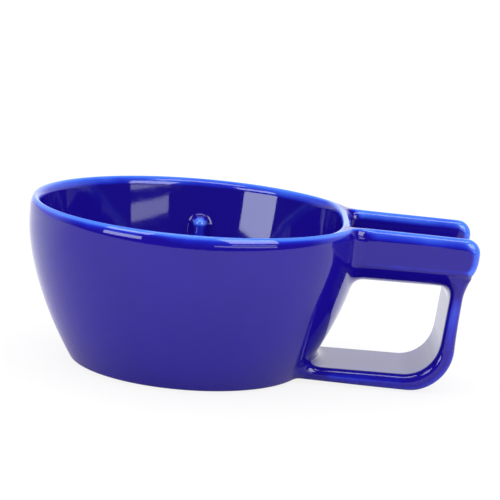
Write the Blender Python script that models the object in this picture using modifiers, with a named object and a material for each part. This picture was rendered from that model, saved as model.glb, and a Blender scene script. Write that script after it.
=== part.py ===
"""Lather bowl with a brush-rest handle, in glazed ceramic.

Frame: metres, +Z up. The origin is on the bowl's own axis, at table level.
The handle points along +X, and the plane y = 0 is the plane of symmetry.
Front is -Y and rear is +Y.

The bowl, its foot, the two rest rails, the rest floor, the strap handle and the
four lathering ribs are separate solids, JOINT_GAP clear of their neighbours.
Profiles are lists of (radius, z) and outlines are lists of (x, z).
"""

import math

import bmesh
import bpy

MM = 0.001
JOINT_GAP = 0.3 * MM

# Bowl, outside
RIM_RADIUS = 65.0 * MM
BOWL_HEIGHT = 63.2 * MM
LIP_DROP_OUTER = 5.0 * MM  # height of the lip's outer rounding
LIP_RUN_OUTER = 1.7 * MM
LIP_DROP_INNER = 3.2 * MM
LIP_RUN_INNER = 2.6 * MM
LIP_STEPS = 5
SHOULDER = BOWL_HEIGHT - LIP_DROP_OUTER  # top of the outer wall, under the lip
FOOT_WALL_RADIUS = 45.2 * MM  # outer wall, carried down to table level
WALL_STEPS = 16
SKIRT_BOTTOM = 0.4 * MM  # the skirt stops short of the table
SKIRT_ROUND = 1.1 * MM
SKIRT_STEPS = 4
GROOVE_CHAMFER = 0.4 * MM  # inner edge of the skirt, beside the foot
UNDERSIDE = 2.9 * MM
TURN_STEPS = 72

# Bowl, inside
INNER_TOP_RADIUS = RIM_RADIUS - (LIP_RUN_OUTER + LIP_RUN_INNER)
INNER_TOP = BOWL_HEIGHT - LIP_DROP_INNER
INNER_LEAN = 0.14  # slope of the inner wall under the lip
INNER_CURVE = 2.4  # extra narrowing with depth squared, per metre
FLOOR_TOP = 8.6 * MM
FLOOR_BEND_RISE = 15 * MM  # the bend from wall to floor starts this far above the floor
FLOOR_BEND_RUN = 15 * MM  # and ends this far in from where wall and floor would meet
FLOOR_BEND_STEPS = 9
FLOOR_DISH = 1.2 * MM  # the floor falls this much to its middle
FLOOR_DISH_CURVE = 0.8  # share of the dish regained at the edge of the floor
FLOOR_SHARES = (0.62, 0.3, 0.0)  # floor points, as shares of its edge radius

# Flat stretch of wall between the rails
FLAT_WALL_IN = 56.2 * MM
FLAT_WALL_OUT = 60.4 * MM
FLAT_WALL_HALF = 20.5 * MM
FLAT_WALL_EDGE = 1.6 * MM
FLAT_WALL_OUTLINE = [
    (FLAT_WALL_IN, BOWL_HEIGHT),
    (FLAT_WALL_OUT, BOWL_HEIGHT),
    (FLAT_WALL_OUT, 47.0 * MM),
    (FLAT_WALL_OUT - 1.7 * MM, 38.0 * MM),
    (FLAT_WALL_OUT - 3.4 * MM, 31.5 * MM),
    (FLAT_WALL_IN, 29.0 * MM),
]

# Foot
FOOT_RADIUS = 42.6 * MM
FOOT_CHAMFER = 0.5 * MM

# Brush rest: two rails and the floor between them
REST_START = 48 * MM  # inner end of rails and floor, before they are cut to the bowl
RAIL_OFFSET = 20.2 * MM  # middle of a rail from the plane of symmetry
RAIL_THICKNESS = 5.8 * MM
RAIL_FACE = RAIL_OFFSET - RAIL_THICKNESS / 2  # face of a rail towards the other
RAIL_TOP_INNER = 63.0 * MM
RAIL_TOP_OUTER = 62.3 * MM  # the rails fall a little towards their outer end
RAIL_BOTTOM = 41.9 * MM
RAIL_END = 109.2 * MM
RAIL_END_LEAN = 1.2 * MM  # the end leans in by this much at its bottom
RAIL_TOP_CORNER = 5.5 * MM
RAIL_BOTTOM_CORNER = 4.5 * MM
RAIL_EDGE = 2.4 * MM
REST_FLOOR_TOP = 49.3 * MM
REST_FLOOR_END = 107.5 * MM
REST_FLOOR_CORNER = 2.6 * MM
CORNER_STEPS = 4

# Strap handle: a leg under the outer end of the rest and a bar back to the foot
STRAP_WIDTH = 39.4 * MM
STRAP_EDGE = 2.6 * MM
STRAP_START = 38 * MM  # inner end of the bar, before it is cut to the bowl
BAR_BOTTOM = 0.5 * MM
BAR_TOP = 6.8 * MM
LEG_OUTER_LOW = 103.2 * MM  # outer face, at the level of the bar's underside
LEG_INNER_LOW = 97.2 * MM  # inner face, at the level of the bar's top
LEG_OUTER_TOP = 104.7 * MM
LEG_INNER_TOP = 99.5 * MM
BEND_OUTER = 17.5 * MM
BEND_INNER = 13.0 * MM
BEND_STEPS = 10

# Lathering ribs
RIB_COUNT = 4  # the last one stands at +X, against the flat wall
RIB_FIRST_ANGLE = math.radians(90)
RIB_RADIUS = 3.3 * MM
RIB_TOP = 48.0 * MM
RIB_FOOT = 19.0 * MM  # centre of the rounding at its lower end
RIB_INSET = 0.9 * MM  # middle of the rib, in from the wall
RIB_STEPS = 6
RIB_END_ANGLES = [math.radians(degrees) for degrees in (78, 52, 26)]

EDGE_SEGMENTS = 3
EDGE_ANGLE = math.radians(60)  # sharper edges than this are rounded
WELD_DISTANCE = 1e-6

# Reach of the cutters
CUTTER_REACH = 80 * MM  # beyond the rim and above the lip
BOWL_CUTTER_BOTTOM = -8 * MM
BOWL_CUTTER_TAPER = 1 * MM
WALL_CUTTER_MARGIN = 9 * MM  # outside the rim
WALL_CUTTER_TOP = 70 * MM
WALL_CUTTER_BOTTOM = -4 * MM
WALL_CUTTER_BEND_POINTS = 4  # points of the floor bend that it follows
FLAT_CUTTER_HALF = 30 * MM
FLAT_CUTTER_BOTTOM = -5 * MM


# Scene, materials and objects

def clear_scene():
    for obj in list(bpy.data.objects):
        bpy.data.objects.remove(obj, do_unlink=True)


def new_collection(name):
    made = bpy.data.collections.new(name)
    bpy.context.scene.collection.children.link(made)
    return made


def material(name, colour, roughness):
    made = bpy.data.materials.new(name)
    made.use_nodes = True
    bsdf = made.node_tree.nodes["Principled BSDF"]
    bsdf.inputs["Base Color"].default_value = (*colour, 1.0)
    bsdf.inputs["Roughness"].default_value = roughness
    bsdf.inputs["Metallic"].default_value = 0.0
    return made


def add_object(name, data, collection, finish=None):
    obj = bpy.data.objects.new(name, data)
    collection.objects.link(obj)
    if finish:
        data.materials.append(finish)
    return obj


def as_cutter(obj):
    obj.hide_render = True
    obj.display_type = "WIRE"
    return obj


def add_boolean(obj, name, operation, other):
    boolean = obj.modifiers.new(name, "BOOLEAN")
    boolean.operation = operation
    boolean.object = other


def cut(obj, cutter):
    add_boolean(obj, "Fit_to_" + cutter.name, "DIFFERENCE", cutter)


# Points

def arc(centre, run, rise, start, end, steps):
    """Points of an elliptical arc between two angles."""
    angles = [start + (end - start) * i / steps for i in range(steps + 1)]
    return [
        (centre[0] + run * math.cos(angle), centre[1] + rise * math.sin(angle))
        for angle in angles
    ]


def rounded_corner(corner, before, after, radius, steps):
    """Points of an arc that rounds one corner of an outline."""
    def towards(point):
        length = math.dist(corner, point)
        return (point[0] - corner[0]) / length, (point[1] - corner[1]) / length

    back, ahead = towards(before), towards(after)
    half = 0.5 * math.acos(back[0] * ahead[0] + back[1] * ahead[1])
    middle = (back[0] + ahead[0], back[1] + ahead[1])
    scale = radius / math.sin(half) / math.hypot(*middle)
    centre = (corner[0] + middle[0] * scale, corner[1] + middle[1] * scale)
    leg = radius / math.tan(half)

    def angle_to_tangent(direction):
        return math.atan2(
            corner[1] + direction[1] * leg - centre[1],
            corner[0] + direction[0] * leg - centre[0],
        )

    start = angle_to_tangent(back)
    # The remainder picks the short way round.
    sweep = math.remainder(angle_to_tangent(ahead) - start, math.tau)
    return arc(centre, radius, radius, start, start + sweep, steps)


def outer_radius(z):
    """Outer wall: a parabola that is upright at the shoulder."""
    return RIM_RADIUS - (RIM_RADIUS - FOOT_WALL_RADIUS) * (1 - z / SHOULDER) ** 2


def inner_radius(z):
    """Inner wall: leans in from the lip and curves in further with depth."""
    depth = INNER_TOP - z
    return INNER_TOP_RADIUS - INNER_LEAN * depth - INNER_CURVE * depth * depth


def outer_profile(bottom, grow=0.0):
    """The outer wall, from below the shoulder down to bottom."""
    heights = [
        SHOULDER + (bottom - SHOULDER) * i / WALL_STEPS for i in range(1, WALL_STEPS + 1)
    ]
    return [(outer_radius(z) + grow, z) for z in heights]


def floor_height(share):
    """Dished floor, at a share of its edge radius."""
    return FLOOR_TOP - FLOOR_DISH * (1 - FLOOR_DISH_CURVE * share**2)


def inner_profile():
    """The inside, from the lip down the wall and round to the middle of the floor."""
    bend_top = FLOOR_TOP + FLOOR_BEND_RISE
    points = []
    for i in range(1, WALL_STEPS + 1):
        z = INNER_TOP + (bend_top - INNER_TOP) * i / WALL_STEPS
        points.append((inner_radius(z), z))

    # A quadratic curve leaves the wall along its slope and lands nearly level.
    previous, start = points[-2:]
    slope = (start[0] - previous[0]) / (start[1] - previous[1])
    knee = (start[0] - slope * (start[1] - FLOOR_TOP), FLOOR_TOP)
    land = (knee[0] - FLOOR_BEND_RUN, floor_height(1.0))
    for i in range(1, FLOOR_BEND_STEPS + 1):
        t = i / FLOOR_BEND_STEPS
        points.append(
            tuple(
                (1 - t) ** 2 * a + 2 * t * (1 - t) * b + t * t * c
                for a, b, c in zip(start, knee, land)
            )
        )
    return points + [(land[0] * share, floor_height(share)) for share in FLOOR_SHARES]


def lip_profile():
    """Over the lip, from its inner side to its outer one."""
    inner = (INNER_TOP_RADIUS + LIP_RUN_INNER, INNER_TOP)
    outer = (RIM_RADIUS - LIP_RUN_OUTER, SHOULDER)
    up = arc(inner, LIP_RUN_INNER, LIP_DROP_INNER, math.pi, math.pi / 2, LIP_STEPS)
    down = arc(outer, LIP_RUN_OUTER, LIP_DROP_OUTER, math.pi / 2, 0, LIP_STEPS)
    return up + down[1:]


# Ways of making a solid

def turned(name, profile, collection, finish=None):
    """A profile turned about the Z axis; it is closed if both ends are off the axis."""
    mesh = bpy.data.meshes.new(name)
    shape = bmesh.new()
    verts = [shape.verts.new((radius, 0.0, z)) for radius, z in profile]
    for start, end in zip(verts, verts[1:]):
        shape.edges.new((start, end))
    if profile[0][0] > 1e-9 and profile[-1][0] > 1e-9:
        shape.edges.new((verts[-1], verts[0]))
    shape.to_mesh(mesh)
    shape.free()
    obj = add_object(name, mesh, collection, finish)
    screw = obj.modifiers.new("Turn", "SCREW")
    screw.axis = "Z"
    screw.steps = screw.render_steps = TURN_STEPS
    screw.use_merge_vertices = True
    screw.merge_threshold = 0.00001
    screw.use_smooth_shade = True
    return obj


def block_cutter(name, low, high, collection):
    """A plain box between two opposite corners."""
    mesh = bpy.data.meshes.new(name)
    shape = bmesh.new()
    bmesh.ops.create_cube(shape, size=1.0)
    for vert in shape.verts:
        for i in range(3):
            vert.co[i] = low[i] + (vert.co[i] + 0.5) * (high[i] - low[i])
    shape.to_mesh(mesh)
    shape.free()
    return as_cutter(add_object(name, mesh, collection))


def solid_from_curve(
    name, curve, collection, finish, location=(0, 0, 0), rotation=(0, 0, 0)
):
    """Turn a curve into a welded, smooth-shaded mesh object."""
    guide = add_object(name + "_guide", curve, collection)
    guide.rotation_euler = rotation
    guide.location = location
    bpy.context.view_layer.update()
    graph = bpy.context.evaluated_depsgraph_get()
    mesh = bpy.data.meshes.new_from_object(guide.evaluated_get(graph))
    mesh.name = name
    shape = bmesh.new()
    shape.from_mesh(mesh)
    bmesh.ops.remove_doubles(shape, verts=shape.verts, dist=WELD_DISTANCE)
    bmesh.ops.recalc_face_normals(shape, faces=shape.faces)
    shape.to_mesh(mesh)
    shape.free()
    world = guide.matrix_world.copy()
    bpy.data.objects.remove(guide, do_unlink=True)
    obj = add_object(name, mesh, collection, finish)
    obj.matrix_world = world
    mesh.shade_smooth()
    return obj


def plate(name, outline, thickness, collection, finish=None, y=0.0, edge=0.0):
    """An outline given thickness about y, with its sharp edges rounded by edge."""
    curve = bpy.data.curves.new(name, "CURVE")
    curve.dimensions = "2D"
    curve.fill_mode = "BOTH"
    curve.extrude = thickness / 2
    spline = curve.splines.new("POLY")
    spline.points.add(len(outline) - 1)
    for point, (x, z) in zip(spline.points, outline):
        point.co = (x, z, 0.0, 1.0)
    spline.use_cyclic_u = True
    upright = (math.radians(90), 0, 0)
    obj = solid_from_curve(name, curve, collection, finish, (0, y, 0), upright)
    if edge:
        bevel = obj.modifiers.new("Rounded_edges", "BEVEL")
        bevel.width = edge
        bevel.segments = EDGE_SEGMENTS
        bevel.limit_method = "ANGLE"
        bevel.angle_limit = EDGE_ANGLE
    return obj


# Cutters

def make_bowl_cutter(collection):
    """The bowl's outside grown by the joint gap, as one solid without its hollow."""
    clear_radius = RIM_RADIUS + JOINT_GAP
    profile = [(0.0, CUTTER_REACH), (clear_radius, CUTTER_REACH), (clear_radius, SHOULDER)]
    profile += outer_profile(0.0, JOINT_GAP)
    profile += [(FOOT_WALL_RADIUS - BOWL_CUTTER_TAPER, BOWL_CUTTER_BOTTOM)]
    profile += [(0.0, BOWL_CUTTER_BOTTOM)]
    return as_cutter(turned("bowl_clearance", profile, collection))


def make_wall_cutter(collection):
    """Everything outside the bowl's inner face, grown inwards by the joint gap."""
    followed = inner_profile()[: WALL_STEPS + WALL_CUTTER_BEND_POINTS]
    inside = [(radius - JOINT_GAP, z) for radius, z in followed]
    outside = RIM_RADIUS + WALL_CUTTER_MARGIN
    profile = [(outside, WALL_CUTTER_TOP), (outside, WALL_CUTTER_BOTTOM)]
    profile += [(inside[-1][0], WALL_CUTTER_BOTTOM)]
    profile += reversed(inside)
    profile += [(INNER_TOP_RADIUS - JOINT_GAP, WALL_CUTTER_TOP)]
    return as_cutter(turned("inner_wall_clearance", profile, collection))


def make_flat_cutter(collection):
    """The flat wall's inner face grown inwards by the joint gap."""
    low = (FLAT_WALL_IN - JOINT_GAP, -FLAT_CUTTER_HALF, FLAT_CUTTER_BOTTOM)
    high = (CUTTER_REACH, FLAT_CUTTER_HALF, CUTTER_REACH)
    return block_cutter("flat_wall_clearance", low, high, collection)


# Pieces

def make_bowl(collection, finish):
    skirt_z = SKIRT_BOTTOM + SKIRT_ROUND
    skirt_centre = (outer_radius(skirt_z) - SKIRT_ROUND, skirt_z)
    groove = FOOT_RADIUS + JOINT_GAP
    profile = inner_profile()[::-1] + lip_profile() + outer_profile(skirt_z)
    profile += arc(skirt_centre, SKIRT_ROUND, SKIRT_ROUND, 0, -math.pi / 2, SKIRT_STEPS)[1:]
    profile += [
        (groove + GROOVE_CHAMFER, SKIRT_BOTTOM),
        (groove, SKIRT_BOTTOM + GROOVE_CHAMFER),
        (groove, UNDERSIDE),
        (0.0, UNDERSIDE),
    ]
    return turned("bowl_body", profile, collection, finish)


def flatten_wall(bowl, cutters):
    """Between the rails the round wall gives way to a flat one, set further in."""
    wall = plate(
        "flat_wall", FLAT_WALL_OUTLINE, 2 * FLAT_WALL_HALF, cutters, edge=FLAT_WALL_EDGE
    )
    as_cutter(wall)
    low = (FLAT_WALL_OUT, -RAIL_FACE, REST_FLOOR_TOP)
    high = (CUTTER_REACH, RAIL_FACE, CUTTER_REACH)
    space = block_cutter("between_rails", low, high, cutters)
    add_boolean(bowl, "Flat_wall", "UNION", wall)
    cut(bowl, space)


def make_foot(collection, finish):
    top = UNDERSIDE - JOINT_GAP
    profile = [
        (0.0, top),
        (FOOT_RADIUS, top),
        (FOOT_RADIUS, FOOT_CHAMFER),
        (FOOT_RADIUS - FOOT_CHAMFER, 0.0),
        (0.0, 0.0),
    ]
    turned("foot_disc", profile, collection, finish)


def rest_outline(inner_top, upper, lower, upper_radius, lower_radius):
    """A rail or the rest floor: square inner end, upper and lower outer corners rounded."""
    start = (REST_START, inner_top)
    end = (REST_START, RAIL_BOTTOM)
    return [
        start,
        *rounded_corner(upper, start, lower, upper_radius, CORNER_STEPS),
        *rounded_corner(lower, upper, end, lower_radius, CORNER_STEPS),
        end,
    ]


def make_rail(name, side, cutter, collection, finish):
    outline = rest_outline(
        inner_top=RAIL_TOP_INNER,
        upper=(RAIL_END, RAIL_TOP_OUTER),
        lower=(RAIL_END - RAIL_END_LEAN, RAIL_BOTTOM),
        upper_radius=RAIL_TOP_CORNER,
        lower_radius=RAIL_BOTTOM_CORNER,
    )
    y = side * RAIL_OFFSET
    rail = plate(name, outline, RAIL_THICKNESS, collection, finish, y=y, edge=RAIL_EDGE)
    cut(rail, cutter)


def make_rest_floor(cutter, collection, finish):
    outline = rest_outline(
        inner_top=REST_FLOOR_TOP,
        upper=(REST_FLOOR_END, REST_FLOOR_TOP),
        lower=(REST_FLOOR_END, RAIL_BOTTOM),
        upper_radius=REST_FLOOR_CORNER,
        lower_radius=REST_FLOOR_CORNER,
    )
    floor = plate("rest_floor", outline, 2 * (RAIL_FACE - JOINT_GAP), collection, finish)
    cut(floor, cutter)


def make_strap(cutter, collection, finish):
    """Leg, bend and bar, as one closed outline."""
    top = RAIL_BOTTOM - JOINT_GAP
    outer_top = (LEG_OUTER_TOP, top)
    outer_corner = (LEG_OUTER_LOW, BAR_BOTTOM)
    bar_end_bottom = (STRAP_START, BAR_BOTTOM)
    bar_end_top = (STRAP_START, BAR_TOP)
    inner_corner = (LEG_INNER_LOW, BAR_TOP)
    inner_top = (LEG_INNER_TOP, top)
    outline = [
        outer_top,
        *rounded_corner(outer_corner, outer_top, bar_end_bottom, BEND_OUTER, BEND_STEPS),
        bar_end_bottom,
        bar_end_top,
        *rounded_corner(inner_corner, bar_end_top, inner_top, BEND_INNER, BEND_STEPS),
        inner_top,
    ]
    strap = plate("handle_strap", outline, STRAP_WIDTH, collection, finish, edge=STRAP_EDGE)
    cut(strap, cutter)


def rib_path(against_flat):
    """Middle line of a rib from the top down, as (radius, z, relative thickness)."""
    def middle_radius(z):
        wall = inner_radius(z)
        if against_flat:
            wall = min(wall, FLAT_WALL_IN)
        return wall - RIB_INSET

    top = RIB_TOP - RIB_RADIUS
    path = [
        (middle_radius(top), top + RIB_RADIUS * math.sin(angle), math.cos(angle))
        for angle in RIB_END_ANGLES
    ]
    for i in range(RIB_STEPS + 1):
        z = top + (RIB_FOOT - top) * i / RIB_STEPS
        path.append((middle_radius(z), z, 1.0))
    path += [
        (middle_radius(RIB_FOOT), RIB_FOOT - RIB_RADIUS * math.sin(angle), math.cos(angle))
        for angle in reversed(RIB_END_ANGLES)
    ]
    return path


def make_rib(number, wall_cutter, flat_cutter, collection, finish):
    """A round-ended rib down the inside wall."""
    angle = RIB_FIRST_ANGLE + (number - 1) * math.tau / RIB_COUNT
    against_flat = number == RIB_COUNT
    path = rib_path(against_flat)
    name = f"lather_rib_{number}"
    curve = bpy.data.curves.new(name, "CURVE")
    curve.dimensions = "3D"
    curve.bevel_depth = RIB_RADIUS
    curve.bevel_resolution = 2
    curve.use_fill_caps = True
    spline = curve.splines.new("POLY")
    spline.points.add(len(path) - 1)
    for point, (radius, z, thickness) in zip(spline.points, path):
        point.co = (radius * math.cos(angle), radius * math.sin(angle), z, 1.0)
        point.radius = thickness
    rib = solid_from_curve(name, curve, collection, finish)
    cut(rib, wall_cutter)
    if against_flat:
        cut(rib, flat_cutter)


def main():
    clear_scene()
    bpy.context.scene.unit_settings.scale_length = 1.0
    parts = new_collection("lather_bowl")
    cutters = new_collection("cutters")
    cutters.hide_render = True

    glaze = material("cobalt_glaze", colour=(0.016, 0.009, 0.27), roughness=0.06)
    rest_glaze = material("cobalt_glaze_rest", colour=(0.020, 0.012, 0.30), roughness=0.06)
    strap_glaze = material("cobalt_glaze_strap", colour=(0.022, 0.014, 0.33), roughness=0.06)
    rib_glaze = material("cobalt_glaze_rib", colour=(0.018, 0.010, 0.29), roughness=0.07)
    bisque = material("bare_stoneware", colour=(0.72, 0.68, 0.60), roughness=0.75)

    bowl = make_bowl(parts, glaze)
    flatten_wall(bowl, cutters)
    make_foot(parts, bisque)
    bowl_cutter = make_bowl_cutter(cutters)
    wall_cutter = make_wall_cutter(cutters)
    make_rail("rest_rail_front", -1, bowl_cutter, parts, rest_glaze)
    make_rail("rest_rail_rear", 1, bowl_cutter, parts, rest_glaze)
    make_rest_floor(bowl_cutter, parts, rest_glaze)
    make_strap(bowl_cutter, parts, strap_glaze)
    flat_cutter = make_flat_cutter(cutters)
    for number in range(1, RIB_COUNT + 1):
        make_rib(number, wall_cutter, flat_cutter, parts, rib_glaze)


main()
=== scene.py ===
"""Looks for the shaving mug: a lather bowl with a brush-rest handle, in cobalt glazed ceramic.

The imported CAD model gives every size. One glazed skin is described as a distance field
in millimetres, meshed, and then parted along flat luting planes into the same pieces as the
CAD nodes, so that the glaze runs over the joints as it does on fired ware.
"""

import math

import bmesh
import bpy
import numpy as np
from mathutils import Matrix, Vector


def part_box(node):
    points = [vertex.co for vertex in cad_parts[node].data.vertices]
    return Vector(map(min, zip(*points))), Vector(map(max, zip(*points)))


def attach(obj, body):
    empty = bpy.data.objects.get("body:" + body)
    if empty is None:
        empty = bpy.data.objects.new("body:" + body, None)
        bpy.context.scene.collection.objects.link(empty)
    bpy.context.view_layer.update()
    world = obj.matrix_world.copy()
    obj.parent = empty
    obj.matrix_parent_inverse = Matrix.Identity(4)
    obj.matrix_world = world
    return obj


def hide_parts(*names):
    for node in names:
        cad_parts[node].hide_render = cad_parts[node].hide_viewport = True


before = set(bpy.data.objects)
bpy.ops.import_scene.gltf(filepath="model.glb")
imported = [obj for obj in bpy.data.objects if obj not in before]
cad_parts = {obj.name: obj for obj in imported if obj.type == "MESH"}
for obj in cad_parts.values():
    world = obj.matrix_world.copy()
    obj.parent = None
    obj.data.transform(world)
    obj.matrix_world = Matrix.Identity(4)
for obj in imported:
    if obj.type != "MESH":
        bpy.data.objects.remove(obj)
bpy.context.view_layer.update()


# ---------------------------------------------------------------- sizes, in millimetres


def box_mm(node):
    lo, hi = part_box(node)
    return np.array(lo) * 1000, np.array(hi) * 1000


bowl_lo, bowl_hi = box_mm("bowl_body")
rail_lo, rail_hi = box_mm("rest_rail_rear")
floor_lo, floor_hi = box_mm("rest_floor")
strap_lo, strap_hi = box_mm("handle_strap")
foot_lo, foot_hi = box_mm("foot_disc")
rib_names = ["lather_rib_%d" % i for i in range(1, 5)]
rib_boxes = [box_mm(n) for n in rib_names]

R = float(bowl_hi[1])  # outside radius of the rim
H = float(bowl_hi[2])
BELLY_Z = 54.0  # the wall is upright above this
FOOT_R = 45.2  # the outer wall, carried down to table level
LIP_OUT = (1.7, 5.0)
LIP_IN = (2.6, 3.2)
RI = R - LIP_OUT[0] - LIP_IN[0]
LIP_Z = H - LIP_IN[1]
FLOOR_Z, DISH = 8.6, 1.2
SKIRT_Z = float(bowl_lo[2])

RAIL_OUT = float(rail_hi[1])
RAIL_IN = RAIL_OUT - 5.8
RAIL_MID = (RAIL_OUT + RAIL_IN) / 2
TRAY_Z = float(rail_lo[2]) - 0.9
TRAY_FLOOR = float(floor_hi[2])
TRAY_END = float(rail_hi[0])
CHAMFER_Z = TRAY_Z + 8.1  # the rest's lower edges are chamfered below this

STRAP_W = float(strap_hi[1])
STRAP_Z = float(strap_lo[2])
WALL_IN, WALL_OUT = 56.2, 60.4  # flat stretch of wall between the rails
LEG_OUT, LEG_IN = 103.4, 97.6  # outer and inner faces of the leg, above the bend
BEND_OUT, BEND_IN = 17.6, 13.8

RIB_R = 3.3
RIB_TOP = float(rib_boxes[0][1][2])
RIB_FOOT = 19.0
RIB_ANGLES = [
    math.atan2((lo[1] + hi[1]) / 2, (lo[0] + hi[0]) / 2) for lo, hi in rib_boxes
]
FOOT_DISC_R = float(foot_hi[0])


# ---------------------------------------------------------------- the skin's field


def smin(a, b, k):
    d = np.maximum(k - np.abs(a - b), 0.0)
    return np.minimum(a, b) - d * d / (4 * k)


def smax(a, b, k):
    return -smin(-a, -b, k)


def step(lo, hi, v):
    t = np.clip((v - lo) / (hi - lo), 0.0, 1.0)
    return t * t * (3 - 2 * t)


def mix(a, b, t):
    return a + (b - a) * t


def round_edge(s, g, a, b):
    """Where side s meets top g, an elliptical rounding that runs a into s and b into g."""
    q1, q2 = (s + a) / a, (g + b) / b
    p1, p2 = np.maximum(q1, 0), np.maximum(q2, 0)
    n = np.sqrt(p1 * p1 + p2 * p2)
    slope = np.sqrt((p1 / a) ** 2 + (p2 / b) ** 2)
    corner = (n - 1) * n / np.maximum(slope, 1e-9)
    flat = np.where(q1 <= 0, np.where(q2 <= 0, np.maximum(s, g), g), s)
    return np.where((q1 > 0) & (q2 > 0), corner, flat)


def outer_wall(r, z):
    t = 1 - z / BELLY_Z
    u = np.minimum(0.5 * (t + np.sqrt(t * t + 0.0012)), 1.1)
    slope = 1.7 * (R - FOOT_R) / BELLY_Z * u**0.7 * step(-0.08, 0.02, t)
    return (r - (R - (R - FOOT_R) * u**1.7)) / np.sqrt(1 + slope * slope)


def inner_radius(z):
    u = LIP_Z - z
    slope = 0.14 + 0.0048 * np.maximum(u, 0.0)
    return RI - 0.14 * u - 0.0024 * np.maximum(u, 0.0) ** 2, slope


def cavity(r, z):
    radius, slope = inner_radius(z)
    wall = (r - radius) / np.sqrt(1 + slope * slope)
    ground = FLOOR_Z - DISH * (1 - np.clip(r / 36.0, 0, 1) ** 2) - z
    return smax(wall, ground, 14.0)


def top_height(x):
    t = x - 62.0
    return H - 0.0205 * 0.5 * (t + np.sqrt(t * t + 20.0))


def end_reach(z):
    return TRAY_END - 0.019 * np.clip(57.0 - z, 0.0, 9.0) ** 2


def strap_field(x, y, z):
    up = np.clip((z - 18.0) / 22.0, 0, 1.3)
    outside = round_edge(
        x - (LEG_OUT + 1.2 * up**1.5),
        STRAP_Z - 0.1 + 1.15 * np.clip((92.0 - x) / 46.0, 0, 1) ** 1.2 - z,
        BEND_OUT,
        BEND_OUT,
    )
    opening = round_edge(x - (LEG_IN + 1.9 * up), STRAP_Z + 6.3 - z, BEND_IN, BEND_IN)
    g = np.maximum(outside, -opening)
    g = np.maximum(g, np.maximum(z - (TRAY_Z + 4.0), 42.0 - x))
    return round_edge(np.abs(y) - STRAP_W, g, 3.15, mix(3.15, 2.6, step(10, 32, z)))


def field(p):
    x, y, z = p[..., 0], p[..., 1], p[..., 2]
    r = np.hypot(x, y)
    ay = np.abs(y)
    top = z - top_height(x)
    wall = outer_wall(r, z)

    # outside of bowl and rest, under one rounded lip
    bowl = round_edge(wall, SKIRT_Z - z, 1.1, 1.1)
    side, under = ay - RAIL_OUT, TRAY_Z - z
    lower = smax(0.7071 * (side + CHAMFER_Z - z), under, 6.0)
    tray = np.maximum(smax(side, lower, 1.0), 30.0 - x)
    lip_run = mix(LIP_OUT[0], 2.9, step(61, 70, x))
    lip_drop = mix(LIP_OUT[1], 3.8, step(61, 70, x))
    near = round_edge(smin(bowl, tray, 4.0), top, lip_run, lip_drop)
    end = x - end_reach(z)
    crown = round_edge(end, top, 5.5, 5.5)
    heel = (x - (TRAY_END - 1.3) + 0.62 * (CHAMFER_Z - z)) * 0.85
    edge_drop = mix(3.0, 3.8, step(54, 60, z))
    far = smax(round_edge(side, crown, 2.9, edge_drop), smax(lower, heel, 2.5), 1.0)
    out = mix(near, far, step(74, 82, x))
    strap = strap_field(x, y, z)
    k = np.where(z > 25, 5.0, 5.0 * step(0.5, 5.0, z) + 0.8)
    out = smin(out, strap, k)
    out = smax(out, STRAP_Z - 0.2 - z, 0.8)

    # the bowl's hollow, and the channel between the rails, behind a flat stretch of wall
    lip_in = mix(LIP_IN[0], 1.0, step(50, 56, x))
    hollow = round_edge(-smax(cavity(r, z), x - WALL_IN, 7.0), top, lip_in, LIP_IN[1])
    channel = smax(smax(ay - RAIL_IN, TRAY_FLOOR - z, 4.5), WALL_OUT - x, 3.5)
    run = mix(3.3, 2.9, step(60, 66, x))
    groove = round_edge(-channel, crown, run, mix(4.2, 3.2, step(60, 66, x)))
    groove = np.where(z < TRAY_FLOOR - 3.5, -5.0, groove)
    f = np.maximum(out, np.maximum(hollow, groove))

    # lathering ribs
    for angle in RIB_ANGLES:
        c, s = math.cos(angle), math.sin(angle)
        along, across = x * c + y * s, -x * s + y * c
        zc = np.clip(z, RIB_FOOT, RIB_TOP - RIB_R)
        middle = inner_radius(zc)[0]
        if c > 0.9:
            middle = np.minimum(middle, WALL_IN)
        middle = middle - 0.9
        d = np.sqrt(across**2 + (along - middle) ** 2 * 0.96 + (z - zc) ** 2) - RIB_R
        f = smin(f, d, 3.0)

    # recess that takes the foot
    recess = np.maximum(r - (FOOT_DISC_R + 0.6), z - (foot_hi[2] + 0.3))
    return smax(f, -recess, 0.5)


def gradient(p, h=0.02):
    out = np.empty_like(p)
    for i in range(3):
        e = np.zeros(3)
        e[i] = h
        out[..., i] = (field(p + e) - field(p - e)) / (2 * h)
    return out


def convexity(p, n, h=0.9):
    """How sharply the skin turns, per millimetre: edges above 0, hollows below."""
    a = np.cross(n, np.where(np.abs(n[:, 2:3]) < 0.8, [[0, 0, 1.0]], [[1.0, 0, 0]]))
    a /= np.linalg.norm(a, axis=1, keepdims=True)
    b = np.cross(n, a)
    total = sum(field(p + h * d) for d in (a, -a, b, -b))
    return total / (2 * h * h)


# ---------------------------------------------------------------- meshing


def to_surface(p, rounds=4, most=0.5):
    for _ in range(rounds):
        f, g = field(p), gradient(p)
        g2 = np.maximum((g * g).sum(1), 0.05)
        move = g * (f / g2)[:, None]
        length = np.linalg.norm(move, axis=1, keepdims=True)
        p = p - move * np.minimum(1, most / np.maximum(length, 1e-9))
    return p


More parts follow.
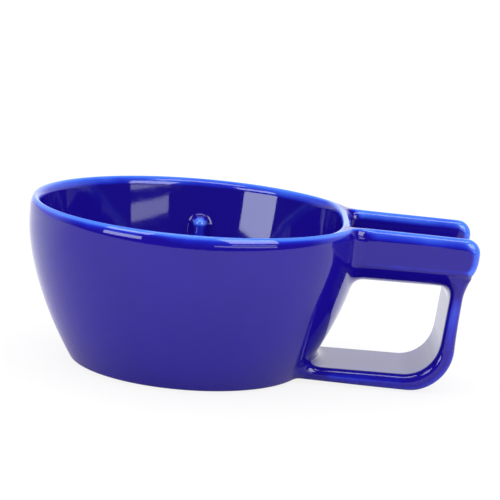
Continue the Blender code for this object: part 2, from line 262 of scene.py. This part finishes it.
def surface_net(lo, hi, h):
    axes = [np.arange(a, b + h, h) for a, b in zip(lo, hi)]
    shape = [len(a) for a in axes]
    values = np.empty(shape, np.float32)
    gx, gy = np.meshgrid(axes[0], axes[1], indexing="ij")
    for k, z in enumerate(axes[2]):
        p = np.stack([gx, gy, np.full_like(gx, z)], -1)
        values[:, :, k] = field(p)
    inside = values < 0
    total = np.zeros([n - 1 for n in shape] + [3], np.float32)
    count = np.zeros([n - 1 for n in shape], np.int32)
    corners = [(i, j, k) for i in (0, 1) for j in (0, 1) for k in (0, 1)]

    def part(a, c):
        return a[
            c[0] : shape[0] - 1 + c[0],
            c[1] : shape[1] - 1 + c[1],
            c[2] : shape[2] - 1 + c[2],
        ]

    for c in corners:
        for axis in range(3):
            if c[axis]:
                continue
            d = list(c)
            d[axis] = 1
            va, vb = part(values, c), part(values, d)
            cross = (va < 0) != (vb < 0)
            t = np.where(cross, va / np.where(cross, va - vb, 1), 0)
            for i in range(3):
                total[..., i] += np.where(cross, c[i] + (t if i == axis else 0), 0)
            count += cross
    used = count > 0
    index = np.full(used.shape, -1, np.int64)
    index[used] = np.arange(used.sum())
    cell = np.argwhere(used)
    base = np.array([axes[i][0] for i in range(3)])
    points = base + h * (cell + total[used] / count[used][:, None])
    quads = []
    for axis in range(3):
        u, v = (axis + 1) % 3, (axis + 2) % 3
        sl_a = [slice(1, n - 1) for n in shape]
        sl_b = [slice(1, n - 1) for n in shape]
        sl_a[axis], sl_b[axis] = slice(0, shape[axis] - 1), slice(1, shape[axis])
        ia, ib = inside[tuple(sl_a)], inside[tuple(sl_b)]
        hit = np.argwhere(ia != ib)
        rising = ia[tuple(hit.T)]
        at = hit.copy()
        at[:, u] += 1
        at[:, v] += 1
        four = []
        for du, dv in ((-1, -1), (0, -1), (0, 0), (-1, 0)):
            q = at.copy()
            q[:, u] += du
            q[:, v] += dv
            four.append(index[tuple(q.T)])
        four = np.stack(four, 1)
        four[~rising] = four[~rising][:, ::-1]
        quads.append(four)
    return points, np.concatenate(quads)


def triangulated(points, quads):
    a, b, c, d = (points[quads[:, i]] for i in range(4))
    short = np.linalg.norm(a - c, axis=1) <= np.linalg.norm(b - d, axis=1)
    q = quads
    first = np.where(short[:, None], q[:, [0, 1, 2]], q[:, [0, 1, 3]])
    second = np.where(short[:, None], q[:, [0, 2, 3]], q[:, [1, 2, 3]])
    return np.concatenate([first, second])


def edges_of(tris):
    e = np.sort(
        np.concatenate([tris[:, [0, 1]], tris[:, [1, 2]], tris[:, [2, 0]]]), axis=1
    )
    return np.unique(e, axis=0)


def relaxed(points, tris, rounds):
    e = edges_of(tris)
    n = len(points)
    degree = np.bincount(e.ravel(), minlength=n)[:, None]
    for _ in range(rounds):
        mean = np.empty_like(points)
        for i in range(3):
            mean[:, i] = np.bincount(
                e[:, 0], points[e[:, 1], i], minlength=n
            ) + np.bincount(e[:, 1], points[e[:, 0], i], minlength=n)
        mean /= degree
        g = gradient(points)
        g /= np.maximum(np.linalg.norm(g, axis=1, keepdims=True), 1e-6)
        d = mean - points
        d -= g * (d * g).sum(1, keepdims=True)
        points = to_surface(points + 0.6 * d, rounds=1)
    return points


def refined(points, tris, marked):
    """Splits each edge whose two ends are marked, and keeps the mesh closed."""
    n = len(points)
    e = np.concatenate([tris[:, [0, 1]], tris[:, [1, 2]], tris[:, [2, 0]]])
    key = np.sort(e, axis=1)
    unique, where = np.unique(key, axis=0, return_inverse=True)
    where = where.reshape(3, -1).T
    split = marked[unique].all(1)
    new = np.full(len(unique), -1)
    new[split] = n + np.arange(split.sum())
    middle = points[unique[split]].mean(1)
    points = np.concatenate([points, to_surface(middle, rounds=3, most=0.3)])
    m = new[where]
    has = m >= 0
    kinds = has.sum(1)
    out = [tris[kinds == 0]]
    t, mm = tris[kinds == 3], m[kinds == 3]
    out += [
        np.stack([t[:, 0], mm[:, 0], mm[:, 2]], 1),
        np.stack([mm[:, 0], t[:, 1], mm[:, 1]], 1),
        np.stack([mm[:, 2], mm[:, 1], t[:, 2]], 1),
        mm,
    ]
    for turn in range(3):
        a, b, c = turn, (turn + 1) % 3, (turn + 2) % 3
        one = (kinds == 1) & has[:, a]
        t, mm = tris[one], m[one]
        out += [
            np.stack([t[:, a], mm[:, a], t[:, c]], 1),
            np.stack([mm[:, a], t[:, b], t[:, c]], 1),
        ]
        two = (kinds == 2) & ~has[:, c]
        t, mm = tris[two], m[two]
        out += [
            np.stack([t[:, a], mm[:, a], t[:, c]], 1),
            np.stack([mm[:, a], t[:, b], mm[:, b]], 1),
            np.stack([mm[:, a], mm[:, b], t[:, c]], 1),
        ]
    return points, np.concatenate(out)


def skin():
    lo = np.array([-R - 1.7, -R - 1.63, -0.93])
    hi = np.array([TRAY_END + 2, R + 2, H + 1.5])
    points, quads = surface_net(lo, hi, 0.9)
    points = to_surface(points)
    tris = triangulated(points, quads)
    points = relaxed(points, tris, 4)
    for limit in (0.16, 0.42):
        n = gradient(points)
        n /= np.linalg.norm(n, axis=1, keepdims=True)
        points, tris = refined(points, tris, convexity(points, n, 0.6) > limit)
        points = relaxed(points, tris, 1)
    return to_surface(points, rounds=2), tris


# ---------------------------------------------------------------- pieces


def bmesh_of(points, tris):
    mesh = bpy.data.meshes.new("skin")
    mesh.from_pydata(points.tolist(), [], tris.tolist())
    bm = bmesh.new()
    bm.from_mesh(mesh)
    bpy.data.meshes.remove(mesh)
    return bm


def close(bm):
    edges = [e for e in bm.edges if e.is_boundary]
    if edges:
        bmesh.ops.triangle_fill(bm, use_beauty=True, use_dissolve=False, edges=edges)
        bmesh.ops.recalc_face_normals(bm, faces=bm.faces)


def cut(bm, co, no):
    """Keeps the part on the side away from no."""
    bmesh.ops.bisect_plane(
        bm,
        geom=bm.verts[:] + bm.edges[:] + bm.faces[:],
        dist=1e-5,
        plane_co=co,
        plane_no=no,
        clear_outer=True,
    )
    close(bm)


def part_rib(bm, angle):
    """Takes one rib off the wall along a flat plane, closes both, and returns the rib."""
    c, s = math.cos(angle), math.sin(angle)
    rs = np.linspace(20, R, 4001)
    reach = WALL_IN if c > 0.9 else R
    a, b = (
        np.array(
            [rs[np.argmax(smax(cavity(rs, np.full_like(rs, z)), rs - reach, 7.0) > 0)] - 0.9, z]
        )
        for z in (15.0, RIB_TOP + 1.0)
    )
    d = (b - a) / np.linalg.norm(b - a)
    co = Vector((a[0] * c, a[0] * s, a[1]))
    no = Vector((d[1] * c, d[1] * s, -d[0]))  # outwards

    def local(v):
        along, across = v.x * c + v.y * s, -v.x * s + v.y * c
        return along > 40 and abs(across) < 7 and 12 < v.z < RIB_TOP + 4

    faces = [f for f in bm.faces if all(local(v.co) for v in f.verts)]
    edges = list({e for f in faces for e in f.edges})
    verts = list({v for f in faces for v in f.verts})
    bmesh.ops.bisect_plane(
        bm, geom=verts + edges + faces, dist=1e-5, plane_co=co, plane_no=no
    )
    ridge = Vector(((b[0] - 2.2) * c, (b[0] - 2.2) * s, RIB_TOP - 9.0))
    inner = {}
    for f in bm.faces:
        m = f.calc_center_median()
        if local(m) and (m - co).dot(no) < -1e-6:
            inner[f] = (m - ridge).length
    stack = [min(inner, key=inner.get)]
    mine = set(stack)
    while stack:
        for e in stack.pop().edges:
            for f in e.link_faces:
                if f in inner and f not in mine:
                    mine.add(f)
                    stack.append(f)
    rib, seen = bmesh.new(), {}
    order = sorted(mine, key=lambda f: f.index)
    for f in order:
        for v in f.verts:
            if v not in seen:
                seen[v] = rib.verts.new(v.co)
        rib.faces.new([seen[v] for v in f.verts])
    bmesh.ops.delete(bm, geom=order, context="FACES")
    close(bm)
    close(rib)
    return rib


def finish_piece(bm, name, node, material):
    bmesh.ops.recalc_face_normals(bm, faces=bm.faces)
    mesh = bpy.data.meshes.new(name)
    bm.to_mesh(mesh)
    bm.free()
    n = len(mesh.vertices)
    p = np.empty(n * 3)
    mesh.vertices.foreach_get("co", p)
    p = p.reshape(-1, 3)
    g = gradient(p)
    g /= np.maximum(np.linalg.norm(g, axis=1, keepdims=True), 1e-6)
    turn = convexity(p, g)
    soft = convexity(p, g, 2.2)
    loops = np.empty(len(mesh.loops), np.int32)
    mesh.loops.foreach_get("vertex_index", loops)
    sizes = np.empty(len(mesh.polygons), np.int32)
    mesh.polygons.foreach_get("loop_total", sizes)
    normals = np.empty(len(mesh.polygons) * 3)
    mesh.polygons.foreach_get("normal", normals)
    normals = normals.reshape(-1, 3)
    centres = np.empty(len(mesh.polygons) * 3)
    mesh.polygons.foreach_get("center", centres)
    centres = centres.reshape(-1, 3)
    seam = (field(centres) < -0.12) & (
        (gradient(centres) * normals).sum(1) < 0.995
    )
    owner = np.repeat(np.arange(len(sizes)), sizes)
    split = g[loops]
    agree = (split * normals[owner]).sum(1) > 0.3
    flat = seam[owner] | ~agree
    split[flat] = normals[owner][flat]
    mesh.polygons.foreach_set("use_smooth", np.ones(len(sizes), bool))
    mesh.normals_split_custom_set(split.tolist())
    for label, values in (("turn", turn), ("soft_turn", soft)):
        layer = mesh.attributes.new(label, "FLOAT", "POINT")
        layer.data.foreach_set("value", values.astype(np.float32))
    mesh.transform(Matrix.Scale(0.001, 4))
    obj = bpy.data.objects.new(name, mesh)
    bpy.context.scene.collection.objects.link(obj)
    mesh.materials.append(material)
    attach(obj, "root")
    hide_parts(node)
    return obj


# ---------------------------------------------------------------- materials


def node_tree(material):
    material.use_nodes = True
    tree = material.node_tree
    tree.nodes.clear()
    return tree


def add(tree, kind, **settings):
    made = tree.nodes.new(kind)
    for key, value in settings.items():
        if key == "inputs":
            for name, v in value.items():
                if isinstance(v, bpy.types.NodeSocket):
                    tree.links.new(v, made.inputs[name])
                else:
                    made.inputs[name].default_value = v
        else:
            setattr(made, key, value)
    return made


def ramp_value(tree, value, lo, hi, out_lo=0.0, out_hi=1.0, smooth=True):
    made = add(
        tree,
        "ShaderNodeMapRange",
        interpolation_type="SMOOTHSTEP" if smooth else "LINEAR",
        inputs={
            "Value": value,
            "From Min": lo,
            "From Max": hi,
            "To Min": out_lo,
            "To Max": out_hi,
        },
    )
    return made.outputs["Result"]


def math_node(tree, operation, a, b=0.0, c=0.0):
    made = add(tree, "ShaderNodeMath", operation=operation)
    for i, v in enumerate((a, b, c)):
        if isinstance(v, bpy.types.NodeSocket):
            tree.links.new(v, made.inputs[i])
        else:
            made.inputs[i].default_value = v
    return made.outputs[0]


def mix_colour(tree, factor, a, b, blend="MIX"):
    made = add(tree, "ShaderNodeMix", data_type="RGBA", blend_type=blend)
    for i, v in ((0, factor), (6, a), (7, b)):
        if isinstance(v, bpy.types.NodeSocket):
            tree.links.new(v, made.inputs[i])
        elif i == 0:
            made.inputs[i].default_value = v
        else:
            made.inputs[i].default_value = (*v, 1.0)
    return made.outputs[2]


DEEP = (0.0110, 0.0045, 0.270)
POOL = (0.0080, 0.0028, 0.200)
BLUE = (0.0120, 0.0190, 0.470)
THIN = (0.0660, 0.1950, 0.880)


def glaze(name, seed, lift=0.0):
    """Cobalt glaze over a white body: it pools darker in hollows and breaks lighter on edges."""
    material = bpy.data.materials.new(name)
    tree = node_tree(material)
    place = add(tree, "ShaderNodeTexCoord").outputs["Object"]
    turn = add(tree, "ShaderNodeAttribute", attribute_name="turn").outputs["Fac"]
    soft = add(tree, "ShaderNodeAttribute", attribute_name="soft_turn").outputs["Fac"]

    cloud = add(
        tree,
        "ShaderNodeTexNoise",
        noise_dimensions="4D",
        inputs={"Vector": place, "W": seed, "Scale": 38.0, "Detail": 3.0, "Roughness": 0.55},
    ).outputs["Fac"]
    speck = add(
        tree,
        "ShaderNodeTexNoise",
        noise_dimensions="4D",
        inputs={"Vector": place, "W": seed + 7, "Scale": 900.0, "Detail": 2.0},
    ).outputs["Fac"]

    wander = ramp_value(tree, cloud, 0.3, 0.7, -0.05, 0.05)
    wander = math_node(tree, "MULTIPLY", wander, 0.4)
    both = math_node(
        tree, "ADD", math_node(tree, "MULTIPLY", turn, 0.3), math_node(tree, "MULTIPLY", soft, 0.7)
    )
    # edges are drawn lighter high up on rim and rails and hardly lower down; a little comes back
    # on the strap, and near the foot it is cut further
    xyz = add(tree, "ShaderNodeSeparateXYZ", inputs={"Vector": place}).outputs
    low = math_node(
        tree,
        "ADD",
        ramp_value(tree, xyz["Z"], 0.052, 0.046, lift, lift - 0.15),
        ramp_value(tree, xyz["Z"], 0.043, 0.032, 0.0, 0.064),
    )
    foot = math_node(
        tree,
        "MULTIPLY",
        ramp_value(tree, xyz["Z"], 0.009, 0.005, 0.0, -0.14),
        ramp_value(tree, xyz["X"], 0.058, 0.048),
    )
    low = math_node(tree, "ADD", low, foot)
    both = math_node(tree, "ADD", both, math_node(tree, "ADD", wander, low))
    thin = ramp_value(tree, both, 0.048, 0.098)
    ridge_tone = ramp_value(tree, both, 0.082, 0.205)
    pool = ramp_value(tree, soft, -0.02, -0.20)
    tone = mix_colour(tree, ramp_value(tree, cloud, 0.3, 0.75, 0.0, 0.35), DEEP, POOL)
    tone = mix_colour(tree, math_node(tree, "MULTIPLY", pool, 0.6), tone, POOL)
    tone = mix_colour(tree, thin, tone, BLUE)
    tone = mix_colour(tree, ridge_tone, tone, THIN)

    ripple = add(
        tree,
        "ShaderNodeTexNoise",
        noise_dimensions="4D",
        inputs={"Vector": place, "W": seed + 3, "Scale": 55.0, "Detail": 1.5, "Roughness": 0.4},
    ).outputs["Fac"]
    bump = add(
        tree,
        "ShaderNodeBump",
        inputs={"Strength": 0.10, "Distance": 0.0006, "Height": ripple},
    )
    fine = add(
        tree,
        "ShaderNodeBump",
        inputs={
            "Strength": 0.03,
            "Distance": 0.0001,
            "Height": speck,
            "Normal": bump.outputs["Normal"],
        },
    )
    rough = ramp_value(tree, speck, 0.35, 0.8, 0.035, 0.075)
    shader = add(
        tree,
        "ShaderNodeBsdfPrincipled",
        inputs={
            "Base Color": tone,
            "Roughness": rough,
            "IOR": 1.5,
            "Normal": fine.outputs["Normal"],
        },
    )
    out = add(tree, "ShaderNodeOutputMaterial")
    tree.links.new(shader.outputs["BSDF"], out.inputs["Surface"])
    return material


def bisque(name):
    """Unglazed clay where the foot was wiped clean."""
    material = bpy.data.materials.new(name)
    tree = node_tree(material)
    place = add(tree, "ShaderNodeTexCoord").outputs["Object"]
    grain = add(
        tree, "ShaderNodeTexNoise", inputs={"Vector": place, "Scale": 700.0, "Detail": 5.0}
    ).outputs["Fac"]
    cloud = add(
        tree, "ShaderNodeTexNoise", inputs={"Vector": place, "Scale": 60.0, "Detail": 3.0}
    ).outputs["Fac"]
    rings = add(
        tree,
        "ShaderNodeTexWave",
        wave_type="RINGS",
        rings_direction="Z",
        inputs={"Vector": place, "Scale": 180.0, "Distortion": 1.2, "Detail": 2.0},
    ).outputs["Fac"]
    tone = mix_colour(tree, cloud, (0.62, 0.56, 0.47), (0.74, 0.70, 0.62))
    tone = mix_colour(tree, ramp_value(tree, grain, 0.55, 0.75, 0, 0.5), tone, (0.42, 0.35, 0.27))
    height = math_node(tree, "ADD", math_node(tree, "MULTIPLY", rings, 0.5), grain)
    bump = add(
        tree, "ShaderNodeBump", inputs={"Strength": 0.35, "Distance": 0.0002, "Height": height}
    )
    shader = add(
        tree,
        "ShaderNodeBsdfPrincipled",
        inputs={
            "Base Color": tone,
            "Roughness": 0.85,
            "IOR": 1.45,
            "Normal": bump.outputs["Normal"],
        },
    )
    out = add(tree, "ShaderNodeOutputMaterial")
    tree.links.new(shader.outputs["BSDF"], out.inputs["Surface"])
    return material


bowl_glaze = glaze("bowl_glaze", 1.0)
rest_glaze = glaze("rest_glaze", 1.0)
strap_glaze = glaze("strap_glaze", 1.0)
rib_glaze = glaze("rib_glaze", 1.0, 0.08)
bare_foot = bisque("bare_foot")


# ---------------------------------------------------------------- build

points, tris = skin()
whole = bmesh_of(points, tris)
print("skin", len(whole.verts), "vertices", len(whole.faces), "faces")
ribs = [part_rib(whole, angle) for angle in RIB_ANGLES]

SEAM_X = R + 1.2
SEAM_Z = TRAY_Z - 4.6
SEAM_Y = RAIL_IN - 1.6
bar_no = Vector((1.0, 0.0, -0.4935)).normalized()
bar_co = Vector((53.0, 0.0, 0.0))

bowl = whole.copy()
cut(bowl, (SEAM_X, 0, 0), (1, 0, 0))
cut(bowl, bar_co, bar_no)
rest = whole.copy()
cut(rest, (SEAM_X, 0, 0), (-1, 0, 0))
strap = rest.copy()
cut(rest, (0, 0, SEAM_Z), (0, 0, -1))
rail_front, rail_rear = rest.copy(), rest.copy()
cut(rail_front, (0, -SEAM_Y, 0), (0, 1, 0))
cut(rail_rear, (0, SEAM_Y, 0), (0, -1, 0))
cut(rest, (0, -SEAM_Y, 0), (0, -1, 0))
cut(rest, (0, SEAM_Y, 0), (0, 1, 0))
strap.free()
strap = whole.copy()
cut(strap, bar_co, -bar_no)
cut(strap, (0, 0, SEAM_Z), (0, 0, 1))
whole.free()

finish_piece(bowl, "bowl_body_glazed", "bowl_body", bowl_glaze)
finish_piece(rail_front, "rest_rail_front_glazed", "rest_rail_front", rest_glaze)
finish_piece(rail_rear, "rest_rail_rear_glazed", "rest_rail_rear", rest_glaze)
finish_piece(rest, "rest_floor_glazed", "rest_floor", rest_glaze)
finish_piece(strap, "handle_strap_glazed", "handle_strap", strap_glaze)
for rib, name in zip(ribs, rib_names):
    finish_piece(rib, name + "_glazed", name, rib_glaze)


def lathe_piece(name, profile, node, material, steps=144):
    """Turns a profile from the axis round to the axis. Radii and heights in millimetres."""
    bm = bmesh.new()
    rings = []
    for radius, z in profile:
        if radius < 1e-9:
            rings.append([bm.verts.new((0, 0, z * 0.001))])
            continue
        rings.append(
            [
                bm.verts.new(
                    (
                        radius * 0.001 * math.cos(2 * math.pi * i / steps),
                        radius * 0.001 * math.sin(2 * math.pi * i / steps),
                        z * 0.001,
                    )
                )
                for i in range(steps)
            ]
        )
    for a, b in zip(rings, rings[1:]):
        for i in range(steps):
            j = (i + 1) % steps
            if len(a) == 1:
                bm.faces.new([a[0], b[j], b[i]])
            elif len(b) == 1:
                bm.faces.new([a[i], a[j], b[0]])
            else:
                bm.faces.new([a[i], a[j], b[j], b[i]])
    bmesh.ops.recalc_face_normals(bm, faces=bm.faces)
    mesh = bpy.data.meshes.new(name)
    bm.to_mesh(mesh)
    bm.free()
    for poly in mesh.polygons:
        poly.use_smooth = False
    mesh.materials.append(material)
    obj = bpy.data.objects.new(name, mesh)
    bpy.context.scene.collection.objects.link(obj)
    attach(obj, "root")
    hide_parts(node)
    return obj


foot_top = float(foot_hi[2]) + 0.35
lathe_piece(
    "foot_disc_bisque",
    [(0.0, foot_top), (FOOT_DISC_R, foot_top), (FOOT_DISC_R, 0.6), (FOOT_DISC_R - 0.15, 0.25)]
    + [(FOOT_DISC_R - 0.5, 0.02), (FOOT_DISC_R - 3.0, 0.0)]
    + [(FOOT_DISC_R - 4.2, 0.35), (30.0, 0.45), (12.0, 0.5), (0.0, 0.5)],
    "foot_disc",
    bare_foot,
)


# ---------------------------------------------------------------- studio


def studio_world():
    """White sweep behind, dark room towards the camera, and an even fill for matt light."""
    world = bpy.data.worlds.new("studio")
    bpy.context.scene.world = world
    world.use_nodes = True
    tree = world.node_tree
    tree.nodes.clear()
    rays = add(tree, "ShaderNodeLightPath").outputs
    direction = add(tree, "ShaderNodeTexCoord").outputs["Generated"]
    axes = add(tree, "ShaderNodeSeparateXYZ", inputs={"Vector": direction}).outputs
    back = ramp_value(tree, axes["Y"], -0.15, 0.35)
    low = ramp_value(tree, axes["Z"], 0.75, 0.35)
    sweep = ramp_value(tree, math_node(tree, "ABSOLUTE", axes["X"]), 0.15, 0.6, 1.35, 0.82)
    wall = math_node(tree, "MULTIPLY", math_node(tree, "MULTIPLY", back, low), sweep)
    room = mix_colour(tree, wall, (0.03, 0.03, 0.045), (1.0, 1.0, 1.02))
    room.node.clamp_factor = False
    fill = mix_colour(
        tree, ramp_value(tree, axes["Z"], -0.1, 0.9), (0.64, 0.64, 0.67), (1.95, 1.95, 2.00)
    )
    unseen = mix_colour(tree, rays["Is Diffuse Ray"], room, fill)
    colour = mix_colour(tree, rays["Is Camera Ray"], unseen, (1.0, 1.0, 1.0))
    shade = add(tree, "ShaderNodeBackground", inputs={"Color": colour, "Strength": 1.0})
    out = add(tree, "ShaderNodeOutputWorld")
    tree.links.new(shade.outputs["Background"], out.inputs["Surface"])


def softbox(name, azimuth, elevation, distance, width, height, power, colour=(1, 1, 1)):
    light = bpy.data.lights.new(name, "AREA")
    light.shape = "RECTANGLE"
    light.size, light.size_y = width, height
    light.energy = power
    light.color = colour
    obj = bpy.data.objects.new(name, light)
    a, e = math.radians(azimuth), math.radians(elevation)
    target = Vector((0.02, 0.0, 0.04))
    back = Vector((math.sin(a) * math.cos(e), -math.cos(a) * math.cos(e), math.sin(e)))
    obj.location = target + back * distance
    obj.rotation_mode = "QUATERNION"
    obj.rotation_quaternion = back.to_track_quat("Z", "Y")
    obj.visible_camera = False
    obj.visible_diffuse = False  # matt light comes from the world's even fill
    bpy.context.scene.collection.objects.link(obj)
    return obj


def table_top():
    bm = bmesh.new()
    rings, steps = [0.0, 0.15, 0.4, 1.0, 2.5, 6.0], 64
    last = [bm.verts.new((0, 0, 0))]
    for radius in rings[1:]:
        ring = [
            bm.verts.new(
                (
                    radius * math.cos(2 * math.pi * i / steps),
                    radius * math.sin(2 * math.pi * i / steps),
                    0,
                )
            )
            for i in range(steps)
        ]
        for i in range(steps):
            j = (i + 1) % steps
            if len(last) == 1:
                bm.faces.new([last[0], ring[i], ring[j]])
            else:
                bm.faces.new([last[i], ring[i], ring[j], last[j]])
        last = ring
    mesh = bpy.data.meshes.new("table_top")
    bm.to_mesh(mesh)
    bm.free()
    material = bpy.data.materials.new("table_top")
    tree = node_tree(material)
    place = add(tree, "ShaderNodeTexCoord").outputs["Object"]
    grain = add(
        tree, "ShaderNodeTexNoise", inputs={"Vector": place, "Scale": 12.0, "Detail": 2.0}
    ).outputs["Fac"]
    ray = add(tree, "ShaderNodeLightPath").outputs["Is Camera Ray"]
    tone = mix_colour(tree, grain, (0.80, 0.80, 0.80), (0.83, 0.83, 0.83))
    axes = add(tree, "ShaderNodeSeparateXYZ", inputs={"Vector": place}).outputs
    # painted reflection: for rays other than the camera's, the floor in front of the mug is given
    # a darker, violet tone, so painted shade shows in the glaze
    near = ramp_value(tree, axes["Y"], 0.10, -0.06)
    seen = mix_colour(tree, near, (0.76, 0.76, 0.80), (0.63, 0.54, 0.73))  # seen in the glaze
    tone = mix_colour(tree, ray, seen, tone)
    matt = add(
        tree, "ShaderNodeBsdfPrincipled", inputs={"Base Color": tone, "Roughness": 0.9}
    ).outputs["BSDF"]
    lit = add(
        tree, "ShaderNodeEmission", inputs={"Color": (1, 1, 1, 1), "Strength": 1.0}
    ).outputs["Emission"]
    share = ramp_value(tree, ray, 0.0, 1.0, 0.10, 0.86, smooth=False)
    # painted shade: in reflections, the floor more than 0.42 m in front of the mug towards the
    # camera is swapped for a dark emission; the camera still sees it pale
    seen = math_node(tree, "MAXIMUM", ray, ramp_value(tree, axes["Y"], -0.425, -0.415))
    both = add(tree, "ShaderNodeMixShader", inputs={"Fac": share})
    tree.links.new(matt, both.inputs[1])
    tree.links.new(lit, both.inputs[2])
    out = add(tree, "ShaderNodeOutputMaterial")
    painted_floor_shade = add(
        tree, "ShaderNodeEmission", inputs={"Color": (0.035, 0.036, 0.05, 1), "Strength": 1.0}
    ).outputs["Emission"]
    edge = add(tree, "ShaderNodeMixShader", inputs={"Fac": seen})
    tree.links.new(painted_floor_shade, edge.inputs[1])
    tree.links.new(both.outputs[0], edge.inputs[2])
    tree.links.new(edge.outputs[0], out.inputs["Surface"])
    mesh.materials.append(material)
    obj = bpy.data.objects.new("table_top", mesh)
    bpy.context.scene.collection.objects.link(obj)
    return obj


studio_world()
table_top()
# two lights on each side, as panes: low ones for the inside wall, high ones for the lip
softbox("low_left", -48.5, 8.4, 1.4, 0.68, 0.25, 3.5, (0.94, 1.0, 1.22))
softbox("low_right", 34.5, 5.0, 1.4, 1.10, 0.110, 1.2, (0.97, 0.97, 1.20))
softbox("mid_right", 40.0, 10.9, 1.4, 0.78, 0.078, 0.62, (0.97, 0.97, 1.20))
softbox("high_left", -49.0, 36.0, 1.4, 0.72, 0.42, 6.2)
softbox("high_right", 41.0, 33.0, 1.4, 0.86, 0.75, 13.0)
softbox("overhead", 0.0, 76.0, 1.4, 1.1, 0.38, 7.5)

# the photograph's viewing angle
AZ, EL, ROLL = math.radians(-0.318), math.radians(11.183), math.radians(4.904)
FOCAL, DISTANCE, SHIFT_X, SHIFT_Z = 2072.4, 0.81868, 0.02156, 0.04619
camera_data = bpy.data.cameras.new("camera")
camera = bpy.data.objects.new("camera", camera_data)
bpy.context.scene.collection.objects.link(camera)
forward = Vector(
    (-math.sin(AZ) * math.cos(EL), math.cos(AZ) * math.cos(EL), -math.sin(EL))
)
right = Vector((math.cos(AZ), math.sin(AZ), 0.0))
up = right.cross(forward)
right_r = right * math.cos(ROLL) + up * math.sin(ROLL)
up_r = up * math.cos(ROLL) - right * math.sin(ROLL)
place = right * SHIFT_X + up * SHIFT_Z - forward * DISTANCE
camera.matrix_world = Matrix(
    (
        (right_r.x, up_r.x, -forward.x, place.x),
        (right_r.y, up_r.y, -forward.y, place.y),
        (right_r.z, up_r.z, -forward.z, place.z),
        (0, 0, 0, 1),
    )
)
camera_data.sensor_width = 36.0
camera_data.lens = FOCAL / 500.0 * 36.0
camera_data.clip_start, camera_data.clip_end = 0.05, 50.0
bpy.context.scene.camera = camera
bpy.context.scene.view_settings.view_transform = "Standard"
